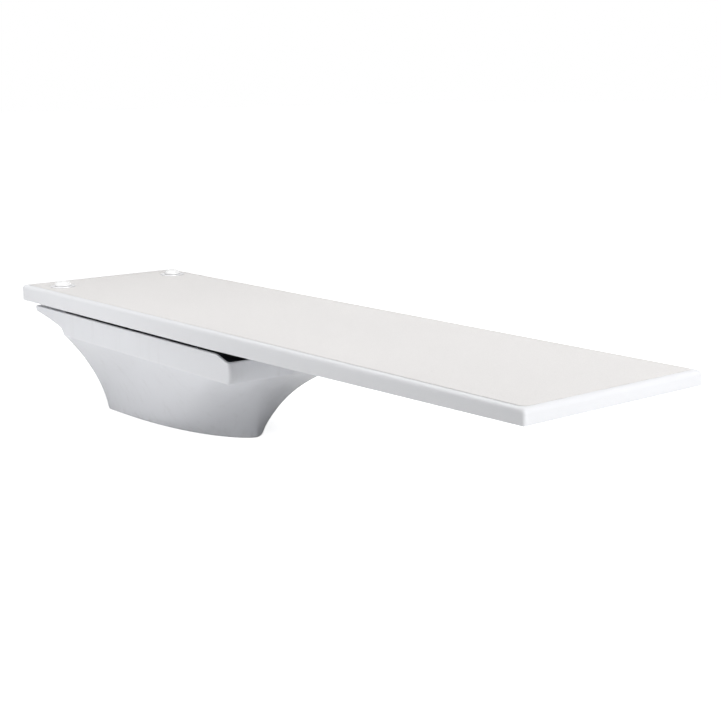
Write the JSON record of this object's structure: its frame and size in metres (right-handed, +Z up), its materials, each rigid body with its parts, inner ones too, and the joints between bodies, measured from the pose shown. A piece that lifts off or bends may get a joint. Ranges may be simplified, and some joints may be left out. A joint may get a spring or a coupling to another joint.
{
  "type": "diving board on moulded base",
  "caption": "Low diving board bolted at its heel to a flared moulded pedestal base with a steel frame inside and a rubber fulcrum under the board.",
  "frame": {"origin": "on the pool deck, at the middle of the base's footprint", "axes": "+X along the board towards its tip, +Y to the left of a diver who faces the tip, +Z up"},
  "size_m": [1.8288, 0.4572, 0.3204],
  "materials": {
    "gelcoat": "white gloss gelcoat over a fibre-reinforced moulding",
    "board_skin": "white satin moulded skin",
    "tread": "white gritty non-slip coat",
    "timber": "laminated softwood core, hidden",
    "rubber": "black moulded rubber",
    "stainless": "plain stainless steel",
    "frame_paint": "dark powder-coated steel",
    "cap_plastic": "white moulded plastic",
    "bushing_nylon": "natural nylon"
  },
  "bodies": {
    "base": {"stand_shell": "gelcoat", "base_plate": "frame_paint", "rail_left": "frame_paint", "rail_right": "frame_paint", "fulcrum_beam": "frame_paint", "rear_beam": "frame_paint", "leg_rear_left": "frame_paint", "leg_rear_right": "frame_paint", "leg_front_left": "frame_paint", "leg_front_right": "frame_paint", "beam_bolt_front_left": "stainless", "beam_nut_front_left": "stainless", "leg_bolt_front_left": "stainless", "beam_bolt_front_right": "stainless", "beam_nut_front_right": "stainless", "leg_bolt_front_right": "stainless", "beam_bolt_rear_left": "stainless", "beam_nut_rear_left": "stainless", "leg_bolt_rear_left": "stainless", "beam_bolt_rear_right": "stainless", "beam_nut_rear_right": "stainless", "leg_bolt_rear_right": "stainless", "fulcrum_pad": "rubber", "heel_backing_bar": "frame_paint", "heel_isolator_left": "rubber", "heel_bolt_left": "stainless", "heel_washer_left": "stainless", "heel_nut_left": "stainless", "heel_isolator_right": "rubber", "heel_bolt_right": "stainless", "heel_washer_right": "stainless", "heel_nut_right": "stainless"},
    "board": {"board_skin": "board_skin", "board_core": "timber", "tread": "tread", "board_bushing_left": "bushing_nylon", "top_washer_left": "stainless", "bolt_cap_left": "cap_plastic", "board_bushing_right": "bushing_nylon", "top_washer_right": "stainless", "bolt_cap_right": "cap_plastic"}
  },
  "joints": [
    {"name": "board_rock", "type": "hinge", "parent": "base", "child": "board", "pos_m": [-0.3845, 0, 0.262], "axis": [0, 1, 0], "range_deg": [0, 0.36], "stiffness_Nm_per_rad": 600000, "springref_deg": -0.02, "deforming": ["fulcrum_pad"]}
  ]
}
